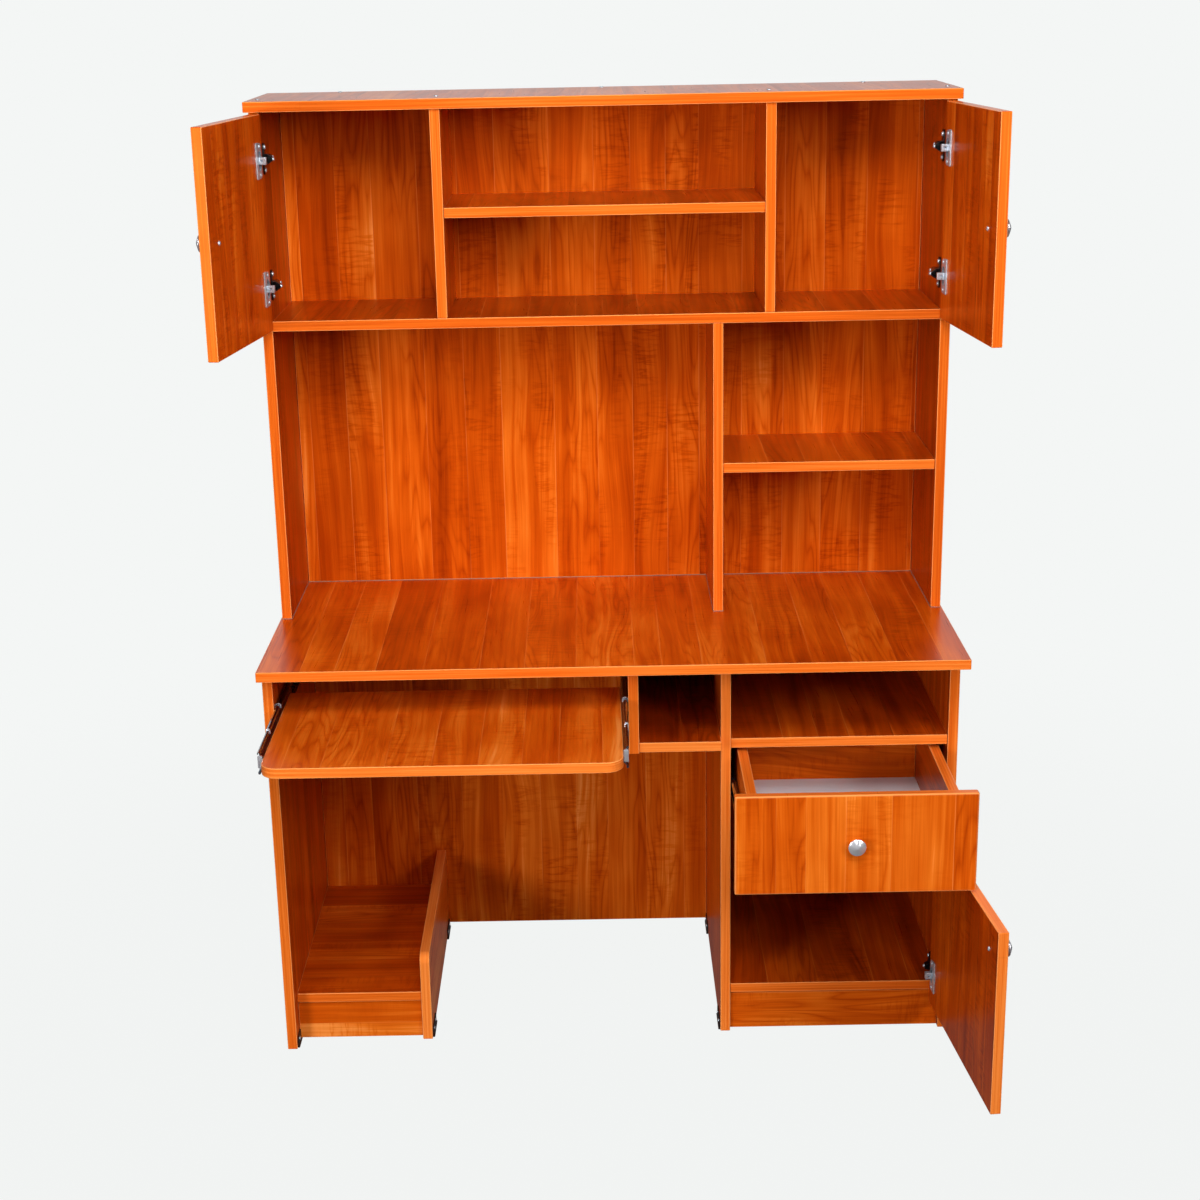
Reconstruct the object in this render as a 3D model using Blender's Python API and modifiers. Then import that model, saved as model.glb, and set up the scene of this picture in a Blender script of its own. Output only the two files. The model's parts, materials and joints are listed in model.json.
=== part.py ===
# Study desk with a hutch. A pedestal with a drawer and a cupboard stands on the right,
# a keyboard tray and a computer bay are on the left, and two cupboards hang at the top.
# Metres, +Z up. The sitter is at -Y, with +X on the sitter's right. The origin is on the
# floor, in the middle of the desk as it stands with its doors, drawer and tray open.

import math

import bmesh
import bpy

# Boards
BOARD = 0.018
EDGE_ROUND = 0.0012
JOIN = 0.0003

# Desk
DESK_WIDTH = 1.228
DESK_DEPTH = 0.600
DESK_HEIGHT = 0.750
END_INSET = 0.002
BACK_INSET = 0.017
BACK_LIFT = 0.008
LEFT_SETBACK = 0.048
PEDESTAL_SETBACK = 0.090

# Computer bay on the left
PLINTH_HEIGHT = 0.078
PLINTH_LIFT = 0.003
PLINTH_SETBACK = 0.005
BAY_WIDTH = 0.230
BAY_SETBACK = 0.034
GUARD_HEIGHT = 0.172
GUARD_SETBACK = 0.030
GUARD_CORNER = 0.020

# Open niches under the top
NICHE_HEIGHT = 0.146
NICHE_WIDTH = 0.146
HANGER_SETBACK = 0.055
NICHE_SETBACK = 0.007
PEDESTAL_SHELF_DROP = 0.006
PEDESTAL_SHELF_SETBACK = 0.003
PEDESTAL_OPENING = 0.386
PEDESTAL_FLOOR_SETBACK = 0.003

# Hutch
HUTCH_HEIGHT = 0.930
HUTCH_DEPTH = 0.285
HUTCH_INSET = 0.003
HUTCH_OVERHANG = 0.008
CUPBOARD_WIDTH = 0.2935
CUPBOARD_HEIGHT = 0.360
MIDDLE_SHELF_RISE = 0.174
SHELF_SETBACK = 0.004
SIDE_BAY_WIDTH = 0.385
SIDE_SHELF_RISE = 0.261

# Hutch doors
HUTCH_DOOR_GAP = 0.0032
HUTCH_DOOR_REVEAL = 0.001
HUTCH_DOOR_SEAM = 0.0025
LEFT_DOOR_OPEN = 98.0
RIGHT_DOOR_OPEN = 96.0
DIVIDER_COVER = 0.0085
HUTCH_AXIS_IN = 0.008
HUTCH_AXIS_DEEP = 0.0105
HUTCH_HINGE_END = 0.077

# Pedestal fronts
FRONT_GAP = 0.0035
FRONT_COVER = 0.0105
FRONT_SEAM = 0.004
SHELF_COVER = 0.012
DRAWER_FRONT_HEIGHT = 0.178
FRONT_ROUND = 0.003
DOOR_FOOT = 0.060
PEDESTAL_DOOR_OPEN = 95.5
PEDESTAL_AXIS_IN = 0.011
PEDESTAL_HINGE_END = 0.063

# Drawer
DRAWER_PULL = 0.240
DRAWER_LENGTH = 0.420
DRAWER_SIDE_HEIGHT = 0.130
DRAWER_TOP_CLEAR = 0.008
DRAWER_BASE = 0.004
DRAWER_BASE_RISE = 0.011
DRAWER_SLIDE_LENGTH = 0.400
DRAWER_SLIDE_HEIGHT = 0.035
DRAWER_SLIDE_RISE = 0.060
DRAWER_SLIDE_SETBACK = 0.012

# Keyboard tray
TRAY_PULL = 0.250
TRAY_DEPTH = 0.380
TRAY_DROP = 0.074
TRAY_SETBACK = 0.030
TRAY_CORNER = 0.030
TRAY_SLIDE_LENGTH = 0.350
TRAY_SLIDE_HEIGHT = 0.045
TRAY_SLIDE_SETBACK = 0.012
CARRIER_SETBACK = 0.049

# Rolled steel slide sections
SLIDE_WIDTH = 0.0127
SLIDE_RAIL = 0.0104
SLIDE_WALL = 0.0011
SLIDE_RUN = 0.0004
SLIDE_LIP = 0.002
SLIDE_JOG = 0.0018
BEND_STEPS = 6

# Concealed hinges
CUP_RADIUS = 0.0175
CUP_WALL = 0.001
CUP_DEPTH = 0.0115
CUP_INSET = 0.0215
CUP_FLOOR_CLEAR = 0.0008
FLANGE_LENGTH = 0.060
FLANGE_WIDTH = 0.026
FLANGE_THICK = 0.0012
PLATE_LENGTH = 0.054
PLATE_WIDTH = 0.022
PLATE_THICK = 0.0022
PLATE_SETBACK = 0.012
ARM_LENGTH = 0.060
ARM_WIDTH = 0.015
ARM_HEIGHT = 0.016
ARM_TAPER = 0.009
ARM_SETBACK = 0.001
TIP_WIDTH = 0.010
HUTCH_TIP_PAST_CUP = 0.0095
HUTCH_TIP_HEIGHT = 0.013
HUTCH_TIP_REACH = 0.010
PEDESTAL_TIP_PAST_CUP = 0.015
PEDESTAL_TIP_HEIGHT = 0.010
PEDESTAL_TIP_REACH = 0.0125
CRANK_LENGTH = 0.013
CRANK_WALL = 0.001
KNUCKLE_CLEAR = 0.0004

# Knobs
KNOB_RADIUS = 0.014
KNOB_LENGTH = 0.022
KNOB_NECK = 0.0055
KNOB_FOOT = 0.008
KNOB_FOOT_HEIGHT = 0.0025
KNOB_RIM = 0.0022
KNOB_DISH = 0.005
KNOB_STEPS = 24
KNOB_FROM_EDGE = 0.048
PEDESTAL_KNOB_DROP = 0.050

# Finishes: sRGB colour, roughness, metallic
LAMINATE = ("C24A06", 0.38, 0.0)
DRAWER_LINING = ("B8B8C8", 0.45, 0.0)
ZINC = ("C4C8CE", 0.28, 1.0)
DARK_STEEL = ("3A3A3C", 0.42, 1.0)
CHROME = ("DDE2E8", 0.10, 1.0)

for old in list(bpy.data.objects):
    bpy.data.objects.remove(old, do_unlink=True)

parts = bpy.data.collections.new("study_desk")
cutters = bpy.data.collections.new("study_desk_cutters")
bpy.context.scene.collection.children.link(parts)
bpy.context.scene.collection.children.link(cutters)


def move_to(obj, collection):
    for held in list(obj.users_collection):
        held.objects.unlink(obj)
    collection.objects.link(obj)


def linear(channel):
    value = int(channel, 16) / 255.0
    if value <= 0.04045:
        return value / 12.92
    return ((value + 0.055) / 1.055) ** 2.4


def paint(obj, finish):
    colour, roughness, metallic = finish
    material = bpy.data.materials.new(obj.name + "_finish")
    material.use_nodes = True
    shader = material.node_tree.nodes["Principled BSDF"]
    rgb = [linear(colour[i:i + 2]) for i in (0, 2, 4)]
    shader.inputs["Base Color"].default_value = (rgb[0], rgb[1], rgb[2], 1.0)
    shader.inputs["Roughness"].default_value = roughness
    shader.inputs["Metallic"].default_value = metallic
    obj.data.materials.append(material)


def keep(obj, name, finish, parent):
    obj.name = name
    obj.data.name = name
    obj.parent = parent
    move_to(obj, parts)
    paint(obj, finish)
    return obj


def hide_cutter(obj, name, parent):
    obj.name = name
    obj.parent = parent
    obj.hide_render = True
    obj.display_type = "WIRE"
    move_to(obj, cutters)
    return obj


def block(x, y, z):
    middle = [(span[0] + span[1]) / 2 for span in (x, y, z)]
    bpy.ops.mesh.primitive_cube_add(size=1.0, location=middle)
    obj = bpy.context.object
    obj.scale = [abs(span[1] - span[0]) for span in (x, y, z)]
    bpy.ops.object.transform_apply(location=False, rotation=False, scale=True)
    return obj


def drum(radius, x, y, z):
    # A cylinder along Y, between the two values of y.
    middle = (x, (y[0] + y[1]) / 2, z)
    turn = (math.radians(90.0), 0.0, 0.0)
    bpy.ops.mesh.primitive_cylinder_add(
        vertices=32, radius=radius, depth=abs(y[1] - y[0]), location=middle, rotation=turn
    )
    obj = bpy.context.object
    bpy.ops.object.transform_apply(location=False, rotation=True, scale=False)
    return obj


def soften(obj, width, segments=2):
    bevel = obj.modifiers.new("edges", "BEVEL")
    bevel.width = width
    bevel.segments = segments
    bevel.limit_method = "ANGLE"
    return obj


def round_corners(obj, radius, picked):
    # Rounds the box edges that the test picks by their two end points.
    mesh = bmesh.new()
    mesh.from_mesh(obj.data)
    edges = [edge for edge in mesh.edges if picked(edge.verts[0].co, edge.verts[1].co)]
    bmesh.ops.bevel(
        mesh, geom=edges, offset=radius, segments=8, profile=0.5, affect="EDGES"
    )
    mesh.to_mesh(obj.data)
    mesh.free()
    return obj


def combine(obj, other, operation):
    boolean = obj.modifiers.new(operation.lower(), "BOOLEAN")
    boolean.operation = operation
    boolean.solver = "EXACT"
    boolean.object = other


# Depth is given as the distance forward of the rear plane. The open pedestal door
# reaches furthest forward, and the origin is halfway between it and the rear plane.
pedestal_front = DESK_DEPTH - PEDESTAL_SETBACK
front_inner = pedestal_front + FRONT_GAP
front_width = PEDESTAL_OPENING + 2 * FRONT_COVER
pedestal_axis_deep = BOARD
door_swing = math.radians(PEDESTAL_DOOR_OPEN)
door_reach = (front_width - PEDESTAL_AXIS_IN) * math.sin(door_swing)
door_reach -= pedestal_axis_deep * math.cos(door_swing)
rear_y = (front_inner + pedestal_axis_deep + door_reach) / 2


def at_depth(forward):
    return rear_y - forward


def panel(name, x, depth, z, parent=None):
    y = (at_depth(depth[1]), at_depth(depth[0]))
    obj = soften(block(x, y, z), EDGE_ROUND)
    return keep(obj, name, LAMINATE, parent)


# Desk: lines that several boards share
top_under = DESK_HEIGHT - BOARD
end_outer = DESK_WIDTH / 2 - END_INSET
end_inner = end_outer - BOARD
back_front = BACK_INSET + BOARD
left_front = DESK_DEPTH - LEFT_SETBACK
hanger_front = DESK_DEPTH - HANGER_SETBACK
inner_panel_right = end_inner - PEDESTAL_OPENING
inner_panel_left = inner_panel_right - BOARD
hanger_right = inner_panel_left - NICHE_WIDTH
hanger_left = hanger_right - BOARD
niche_top = top_under - NICHE_HEIGHT
niche_under = niche_top - BOARD
pedestal_shelf_under = niche_under - PEDESTAL_SHELF_DROP
floor_top = PLINTH_HEIGHT + BOARD
guard_left = -end_inner + BAY_WIDTH
guard_front = left_front - GUARD_SETBACK
bay_front = left_front - BAY_SETBACK
pedestal_floor_front = pedestal_front - PEDESTAL_FLOOR_SETBACK
seat = top_under - JOIN

panel("desk_top", (-DESK_WIDTH / 2, DESK_WIDTH / 2), (0.0, DESK_DEPTH), (top_under, DESK_HEIGHT))
panel("left_end_panel", (-end_outer, -end_inner), (0.0, left_front), (0.0, seat))
panel("right_end_panel", (end_inner, end_outer), (0.0, pedestal_front), (0.0, seat))
panel(
    "pedestal_inner_panel",
    (inner_panel_left, inner_panel_right),
    (0.0, pedestal_front),
    (0.0, seat),
)
panel(
    "modesty_panel",
    (-end_inner + JOIN, inner_panel_left - JOIN),
    (BACK_INSET, back_front),
    (BACK_LIFT, seat),
)
panel(
    "pedestal_back",
    (inner_panel_right + JOIN, end_inner - JOIN),
    (BACK_INSET, back_front),
    (BACK_LIFT, seat),
)

# Keyboard tray hanger and the open niches
panel(
    "tray_hanger",
    (hanger_left, hanger_right),
    (back_front + JOIN, hanger_front),
    (niche_under, seat),
)
panel(
    "niche_shelf",
    (hanger_right + JOIN, inner_panel_left - JOIN),
    (back_front + JOIN, hanger_front - NICHE_SETBACK),
    (niche_under, niche_top),
)
panel(
    "pedestal_shelf",
    (inner_panel_right + JOIN, end_inner - JOIN),
    (back_front + JOIN, pedestal_front - PEDESTAL_SHELF_SETBACK),
    (pedestal_shelf_under, pedestal_shelf_under + BOARD),
)

# Pedestal floor and plinth
panel(
    "pedestal_floor",
    (inner_panel_right + JOIN, end_inner - JOIN),
    (back_front + JOIN, pedestal_floor_front),
    (PLINTH_HEIGHT, floor_top),
)
panel(
    "pedestal_plinth",
    (inner_panel_right + JOIN, end_inner - JOIN),
    (pedestal_floor_front - PLINTH_SETBACK - BOARD, pedestal_floor_front - PLINTH_SETBACK),
    (PLINTH_LIFT, PLINTH_HEIGHT - JOIN),
)

# Computer bay: floor, plinth and low side guard
panel(
    "bay_floor",
    (-end_inner + JOIN, guard_left - JOIN),
    (back_front + JOIN, bay_front),
    (PLINTH_HEIGHT, floor_top),
)
panel(
    "bay_plinth",
    (-end_inner + JOIN, guard_left - JOIN),
    (bay_front - PLINTH_SETBACK - BOARD, bay_front - PLINTH_SETBACK),
    (PLINTH_LIFT, PLINTH_HEIGHT - JOIN),
)
guard = block(
    (guard_left, guard_left + BOARD),
    (at_depth(guard_front), at_depth(back_front + JOIN)),
    (0.0, GUARD_HEIGHT),
)
round_corners(guard, GUARD_CORNER, lambda a, b: max(a.y, b.y) < 0 < min(a.z, b.z))
keep(soften(guard, EDGE_ROUND), "bay_guard", LAMINATE, None)

# Hutch
hutch_top = DESK_HEIGHT + HUTCH_HEIGHT
hutch_under = hutch_top - BOARD
hutch_outer = DESK_WIDTH / 2 - HUTCH_INSET
hutch_inner = hutch_outer - BOARD
hutch_foot = DESK_HEIGHT + JOIN
cupboard_floor = hutch_under - CUPBOARD_HEIGHT
long_shelf_under = cupboard_floor - BOARD
divider_outer = hutch_inner - CUPBOARD_WIDTH
divider_inner = divider_outer - BOARD
middle_shelf_under = cupboard_floor + MIDDLE_SHELF_RISE
side_bay_left = hutch_inner - SIDE_BAY_WIDTH
side_shelf_under = DESK_HEIGHT + SIDE_SHELF_RISE

for side, word in ((-1, "left"), (1, "right")):
    panel(
        "hutch_" + word + "_side",
        sorted((side * hutch_inner, side * hutch_outer)),
        (0.0, HUTCH_DEPTH),
        (hutch_foot, hutch_under - JOIN),
    )
    panel(
        "hutch_" + word + "_divider",
        sorted((side * divider_inner, side * divider_outer)),
        (back_front + JOIN, HUTCH_DEPTH),
        (cupboard_floor + JOIN, hutch_under - JOIN),
    )
panel(
    "hutch_top",
    (-hutch_outer - HUTCH_OVERHANG, hutch_outer + HUTCH_OVERHANG),
    (0.0, HUTCH_DEPTH + HUTCH_OVERHANG),
    (hutch_under, hutch_top),
)
panel(
    "hutch_back",
    (-hutch_inner + JOIN, hutch_inner - JOIN),
    (BACK_INSET, back_front),
    (hutch_foot, hutch_under - JOIN),
)
panel(
    "hutch_long_shelf",
    (-hutch_inner + JOIN, hutch_inner - JOIN),
    (back_front + JOIN, HUTCH_DEPTH),
    (long_shelf_under, cupboard_floor),
)
panel(
    "hutch_middle_shelf",
    (-divider_inner + JOIN, divider_inner - JOIN),
    (back_front + JOIN, HUTCH_DEPTH - SHELF_SETBACK),
    (middle_shelf_under, middle_shelf_under + BOARD),
)
panel(
    "hutch_lower_divider",
    (side_bay_left - BOARD, side_bay_left),
    (back_front + JOIN, HUTCH_DEPTH),
    (hutch_foot, long_shelf_under - JOIN),
)
panel(
    "hutch_side_shelf",
    (side_bay_left + JOIN, hutch_inner - JOIN),
    (back_front + JOIN, HUTCH_DEPTH - SHELF_SETBACK),
    (side_shelf_under, side_shelf_under + BOARD),
)


def knob(name, parent, location):
    # A turned knob whose dished face looks along -Y, with its foot at the location.
    # The neck swells out to the rim in a quarter wave.
    profile = [(0.0, KNOB_LENGTH - KNOB_DISH)]
    profile.append((KNOB_RADIUS - KNOB_RIM / 2, KNOB_LENGTH))
    profile.append((KNOB_RADIUS, KNOB_LENGTH - KNOB_RIM / 2))
    profile.append((KNOB_RADIUS, KNOB_LENGTH - KNOB_RIM))
    swell = KNOB_LENGTH - KNOB_RIM - KNOB_FOOT_HEIGHT
    for step in range(1, 8):
        share = step / 8
        wave = 1 - math.sin(share * math.pi / 2)
        radius = KNOB_NECK + (KNOB_RADIUS - KNOB_NECK) * wave
        profile.append((radius, KNOB_LENGTH - KNOB_RIM - swell * share))
    profile.append((KNOB_FOOT, KNOB_FOOT_HEIGHT))
    profile.append((KNOB_FOOT, 0.0))
    profile.append((0.0, 0.0))
    mesh = bpy.data.meshes.new(name)
    turned = bmesh.new()
    points = [turned.verts.new((radius, 0.0, height)) for radius, height in profile]
    for first, second in zip(points, points[1:]):
        turned.edges.new((first, second))
    turned.to_mesh(mesh)
    turned.free()
    obj = bpy.data.objects.new(name, mesh)
    bpy.context.scene.collection.objects.link(obj)
    screw = obj.modifiers.new("turn", "SCREW")
    screw.steps = KNOB_STEPS
    screw.render_steps = KNOB_STEPS
    screw.use_merge_vertices = True
    screw.merge_threshold = 0.00001
    screw.use_smooth_shade = True
    obj.rotation_euler = (math.radians(90.0), 0.0, 0.0)
    obj.location = location
    return keep(obj, name, CHROME, parent)


def hung_door(name, side, edge, width, z, inner, axis_in, axis_deep, open_angle):
    # The pivot lies on the hinge axis, with the door closed in its own frame and the
    # pivot turned to the open angle. Along the door, distances run from the hinge edge.
    pivot = bpy.data.objects.new(name + "_pivot", None)
    parts.objects.link(pivot)
    pivot.location = (side * (edge - axis_in), at_depth(inner + axis_deep), 0.0)
    pivot.rotation_euler = (0.0, 0.0, side * math.radians(open_angle))
    x = sorted((side * axis_in, side * (axis_in - width)))
    y = (axis_deep - BOARD, axis_deep)
    keep(soften(block(x, y, z), EDGE_ROUND), name, LAMINATE, pivot)
    return pivot


def hinge_cup(name, door, pivot, side, axis_in, axis_deep, z):
    # A pressed cup sunk in the door, with a flange that its two screws hold.
    x = side * (axis_in - CUP_INSET)
    bore_floor = axis_deep - CUP_DEPTH - CUP_FLOOR_CLEAR
    bore = drum(CUP_RADIUS + JOIN, x, (bore_floor, axis_deep + BOARD), z)
    combine(door, hide_cutter(bore, name + "_bore", pivot), "DIFFERENCE")
    face = axis_deep + JOIN
    flange = block(
        (x - FLANGE_WIDTH / 2, x + FLANGE_WIDTH / 2),
        (face, face + FLANGE_THICK),
        (z - FLANGE_LENGTH / 2, z + FLANGE_LENGTH / 2),
    )
    round_corners(flange, FLANGE_WIDTH / 3, lambda a, b: abs(a.y - b.y) > FLANGE_THICK / 2)
    keep(flange, name, ZINC, pivot)
    shell = drum(CUP_RADIUS, x, (axis_deep - CUP_DEPTH, face + FLANGE_THICK / 2), z)
    combine(flange, hide_cutter(shell, name + "_shell", pivot), "UNION")
    hollow_floor = axis_deep - CUP_DEPTH + CUP_WALL
    hollow = drum(CUP_RADIUS - CUP_WALL, x, (hollow_floor, axis_deep + BOARD), z)
    combine(flange, hide_cutter(hollow, name + "_hollow", pivot), "DIFFERENCE")


def hinge_arm(name, side, wall, front, z, tip_top, tip_height, tip_reach, pivot, swing):
    # A mounting plate on the cabinet side, and an arm whose tip stands out past the
    # board's front edge and enters the cup as the door shuts. The tip is hollowed about
    # the pivot, where the door's inner corner swings past it.
    def span_x(low, high):
        return sorted((side * (wall - low), side * (wall - high)))

    def span_y(low, high):
        return (at_depth(front - low), at_depth(front - high))

    plate_top = JOIN + PLATE_THICK
    arm = block(
        span_x(JOIN + PLATE_THICK / 2, plate_top + ARM_HEIGHT),
        span_y(ARM_SETBACK, ARM_SETBACK + ARM_LENGTH),
        (z - ARM_WIDTH / 2, z + ARM_WIDTH / 2),
    )
    # The arm falls away towards its rear screw.
    for corner in arm.data.vertices:
        if corner.co.y > 0 > side * corner.co.x:
            corner.co.x += side * ARM_TAPER
    keep(soften(arm, ARM_HEIGHT / 8), name, ZINC, None)
    plate = block(
        span_x(JOIN, plate_top),
        span_y(PLATE_SETBACK, PLATE_SETBACK + PLATE_WIDTH),
        (z - PLATE_LENGTH / 2, z + PLATE_LENGTH / 2),
    )
    round_corners(plate, PLATE_WIDTH / 3, lambda a, b: abs(a.x - b.x) > PLATE_THICK / 2)
    combine(arm, hide_cutter(plate, name + "_plate", None), "UNION")
    tip = block(
        span_x(tip_top - tip_height, tip_top),
        span_y(-tip_reach, CRANK_LENGTH / 2),
        (z - TIP_WIDTH / 2, z + TIP_WIDTH / 2),
    )
    combine(arm, hide_cutter(tip, name + "_tip", None), "UNION")
    if tip_top > plate_top + ARM_HEIGHT:
        crank = block(
            span_x(plate_top + ARM_HEIGHT / 2, tip_top + CRANK_WALL),
            span_y(ARM_SETBACK, ARM_SETBACK + CRANK_LENGTH),
            (z - TIP_WIDTH / 2 - CRANK_WALL, z + TIP_WIDTH / 2 + CRANK_WALL),
        )
        combine(arm, hide_cutter(crank, name + "_crank", None), "UNION")
    bpy.ops.mesh.primitive_cylinder_add(
        vertices=96,
        radius=swing + KNUCKLE_CLEAR,
        depth=2 * TIP_WIDTH,
        location=(pivot.location.x, pivot.location.y, z),
    )
    combine(arm, hide_cutter(bpy.context.object, name + "_knuckle", None), "DIFFERENCE")


def corner_swing(axis_in, axis_deep):
    # How far the door's rounded inner corner lies from the hinge axis.
    return math.hypot(axis_in - EDGE_ROUND, axis_deep - EDGE_ROUND) + EDGE_ROUND


# Hutch doors, each on two hinges at the outer side
door_low = long_shelf_under + HUTCH_DOOR_SEAM
door_high = hutch_under - HUTCH_DOOR_SEAM
door_edge = hutch_outer - HUTCH_DOOR_REVEAL
door_width = door_edge - (divider_outer - DIVIDER_COVER)
for side, word, angle in ((-1, "left", LEFT_DOOR_OPEN), (1, "right", RIGHT_DOOR_OPEN)):
    name = "hutch_" + word + "_door"
    pivot = hung_door(
        name,
        side,
        door_edge,
        door_width,
        (door_low, door_high),
        HUTCH_DEPTH + HUTCH_DOOR_GAP,
        HUTCH_AXIS_IN,
        HUTCH_AXIS_DEEP,
        angle,
    )
    door = bpy.data.objects[name]
    heights = (("lower", door_low + HUTCH_HINGE_END), ("upper", door_high - HUTCH_HINGE_END))
    for level, height in heights:
        stem = "hutch_" + word + "_" + level + "_hinge"
        hinge_cup(stem + "_cup", door, pivot, side, HUTCH_AXIS_IN, HUTCH_AXIS_DEEP, height)
        hinge_arm(
            stem + "_arm",
            side,
            hutch_inner,
            HUTCH_DEPTH,
            height,
            CUP_INSET + HUTCH_TIP_PAST_CUP - (door_edge - hutch_inner),
            HUTCH_TIP_HEIGHT,
            HUTCH_TIP_REACH,
            pivot,
            corner_swing(HUTCH_AXIS_IN, HUTCH_AXIS_DEEP),
        )
    knob(
        "hutch_" + word + "_knob",
        pivot,
        (
            side * (HUTCH_AXIS_IN - door_width + KNOB_FROM_EDGE),
            HUTCH_AXIS_DEEP - BOARD - JOIN,
            (door_low + door_high) / 2,
        ),
    )

# Pedestal door, hung on the right end panel
drawer_front_top = pedestal_shelf_under + SHELF_COVER
drawer_front_low = drawer_front_top - DRAWER_FRONT_HEIGHT
pedestal_door_top = drawer_front_low - FRONT_SEAM
pedestal_edge = end_inner + FRONT_COVER
pedestal_pivot = hung_door(
    "pedestal_door",
    1,
    pedestal_edge,
    front_width,
    (DOOR_FOOT, pedestal_door_top),
    front_inner,
    PEDESTAL_AXIS_IN,
    pedestal_axis_deep,
    PEDESTAL_DOOR_OPEN,
)
pedestal_door = bpy.data.objects["pedestal_door"]
heights = (
    ("lower", DOOR_FOOT + PEDESTAL_HINGE_END),
    ("upper", pedestal_door_top - PEDESTAL_HINGE_END),
)
for level, height in heights:
    stem = "pedestal_" + level + "_hinge"
    hinge_cup(
        stem + "_cup",
        pedestal_door,
        pedestal_pivot,
        1,
        PEDESTAL_AXIS_IN,
        pedestal_axis_deep,
        height,
    )
    hinge_arm(
        stem + "_arm",
        1,
        end_inner,
        pedestal_front,
        height,
        CUP_INSET + PEDESTAL_TIP_PAST_CUP - FRONT_COVER,
        PEDESTAL_TIP_HEIGHT,
        PEDESTAL_TIP_REACH,
        pedestal_pivot,
        corner_swing(PEDESTAL_AXIS_IN, pedestal_axis_deep),
    )
knob(
    "pedestal_knob",
    pedestal_pivot,
    (
        PEDESTAL_AXIS_IN - front_width + KNOB_FROM_EDGE,
        pedestal_axis_deep - BOARD - JOIN,
        pedestal_door_top - PEDESTAL_KNOB_DROP,
    ),
)


# Slide sections. Across the slide, distances run from the board that carries the fixed
# rail. Each section is a strip of sheet steel bent along a centre line.
def arc(centre, radius, start, end):
    angles = [start + (end - start) * step / BEND_STEPS for step in range(BEND_STEPS + 1)]
    return [
        (
            centre[0] + radius * math.cos(math.radians(angle)),
            centre[1] + radius * math.sin(math.radians(angle)),
        )
        for angle in angles
    ]


def nest(height, level):
    # The centre lines' near and far lines and half height, one step further in for each
    # rail that encloses this one.
    step = level * (SLIDE_WALL + SLIDE_RUN)
    near = JOIN + SLIDE_WALL / 2 + step
    far = JOIN + SLIDE_RAIL - SLIDE_WALL / 2 - step
    return near, far, height / 2 - SLIDE_WALL / 2 - step


def rail_line(height, level):
    # A channel with its web on the near side and rounded ball races at top and bottom.
    near, far, half = nest(height, level)
    radius = (far - near) / 2
    spring = half - radius
    centre = (near + far) / 2
    line = [(far, spring - SLIDE_LIP)]
    line += arc((centre, spring), radius, 0.0, 180.0)
    line += arc((centre, -spring), radius, 180.0, 360.0)
    line.append((far, -spring + SLIDE_LIP))
    return line


def carrier_line(height, level):
    # Races inside those of the rail, and a web that steps out to the moving board.
    near, far, half = nest(height, level)
    radius = (far - near) / 2
    spring = half - radius
    centre = (near + far) / 2
    web = SLIDE_WIDTH - JOIN - SLIDE_WALL / 2
    shoulder = spring - SLIDE_LIP - SLIDE_JOG
    line = [(near, spring - SLIDE_LIP)]
    line += arc((centre, spring), radius, 180.0, 0.0)
    line += [(far, shoulder), (web, shoulder - (web - far))]
    line += [(web, -shoulder + (web - far)), (far, -shoulder)]
    line += arc((centre, -spring), radius, 0.0, -180.0)
    line.append((near, -spring + SLIDE_LIP))
    return line


def offset_line(line, distance):
    # The line moved sideways, mitred where it turns.
    moved = []
    last = len(line) - 1
    for index, point in enumerate(line):
        before = line[max(index - 1, 0)]
        after = line[min(index + 1, last)]
        back = (point[0] - before[0], point[1] - before[1])
        ahead = (after[0] - point[0], after[1] - point[1])
        back = back if index else ahead
        ahead = ahead if index < last else back
        back_size = math.hypot(back[0], back[1])
        ahead_size = math.hypot(ahead[0], ahead[1])
        normal_back = (-back[1] / back_size, back[0] / back_size)
        normal_ahead = (-ahead[1] / ahead_size, ahead[0] / ahead_size)
        total = (normal_back[0] + normal_ahead[0], normal_back[1] + normal_ahead[1])
        share = 1 + normal_back[0] * normal_ahead[0] + normal_back[1] * normal_ahead[1]
        moved.append(
            (point[0] + distance * total[0] / share, point[1] + distance * total[1] / share)
        )
    return moved


def slide_member(name, line, away, board_face, middle_z, depth, finish, parent):
    # away is 1 where the moving board lies towards +X from the fixed one, or -1.
    outline = offset_line(line, SLIDE_WALL / 2)
    outline += reversed(offset_line(line, -SLIDE_WALL / 2))
    curve = bpy.data.curves.new(name, "CURVE")
    curve.dimensions = "2D"
    curve.fill_mode = "BOTH"
    curve.extrude = (depth[1] - depth[0]) / 2
    spline = curve.splines.new("POLY")
    spline.points.add(len(outline) - 1)
    for point, (across, up) in zip(spline.points, outline):
        point.co = (away * across, up, 0.0, 1.0)
    spline.use_cyclic_u = True
    drawn = bpy.data.objects.new(name + "_section", curve)
    bpy.context.scene.collection.objects.link(drawn)
    view = bpy.context.evaluated_depsgraph_get()
    mesh = bpy.data.meshes.new_from_object(drawn.evaluated_get(view))
    bpy.data.objects.remove(drawn, do_unlink=True)
    welded = bmesh.new()
    welded.from_mesh(mesh)
    bmesh.ops.remove_doubles(welded, verts=welded.verts, dist=0.00002)
    bmesh.ops.recalc_face_normals(welded, faces=welded.faces)
    welded.to_mesh(mesh)
    welded.free()
    obj = bpy.data.objects.new(name, mesh)
    bpy.context.scene.collection.objects.link(obj)
    obj.rotation_euler = (math.radians(90.0), 0.0, 0.0)
    obj.location = (board_face, at_depth((depth[0] + depth[1]) / 2), middle_z)
    return keep(obj, name, finish, parent)


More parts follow.
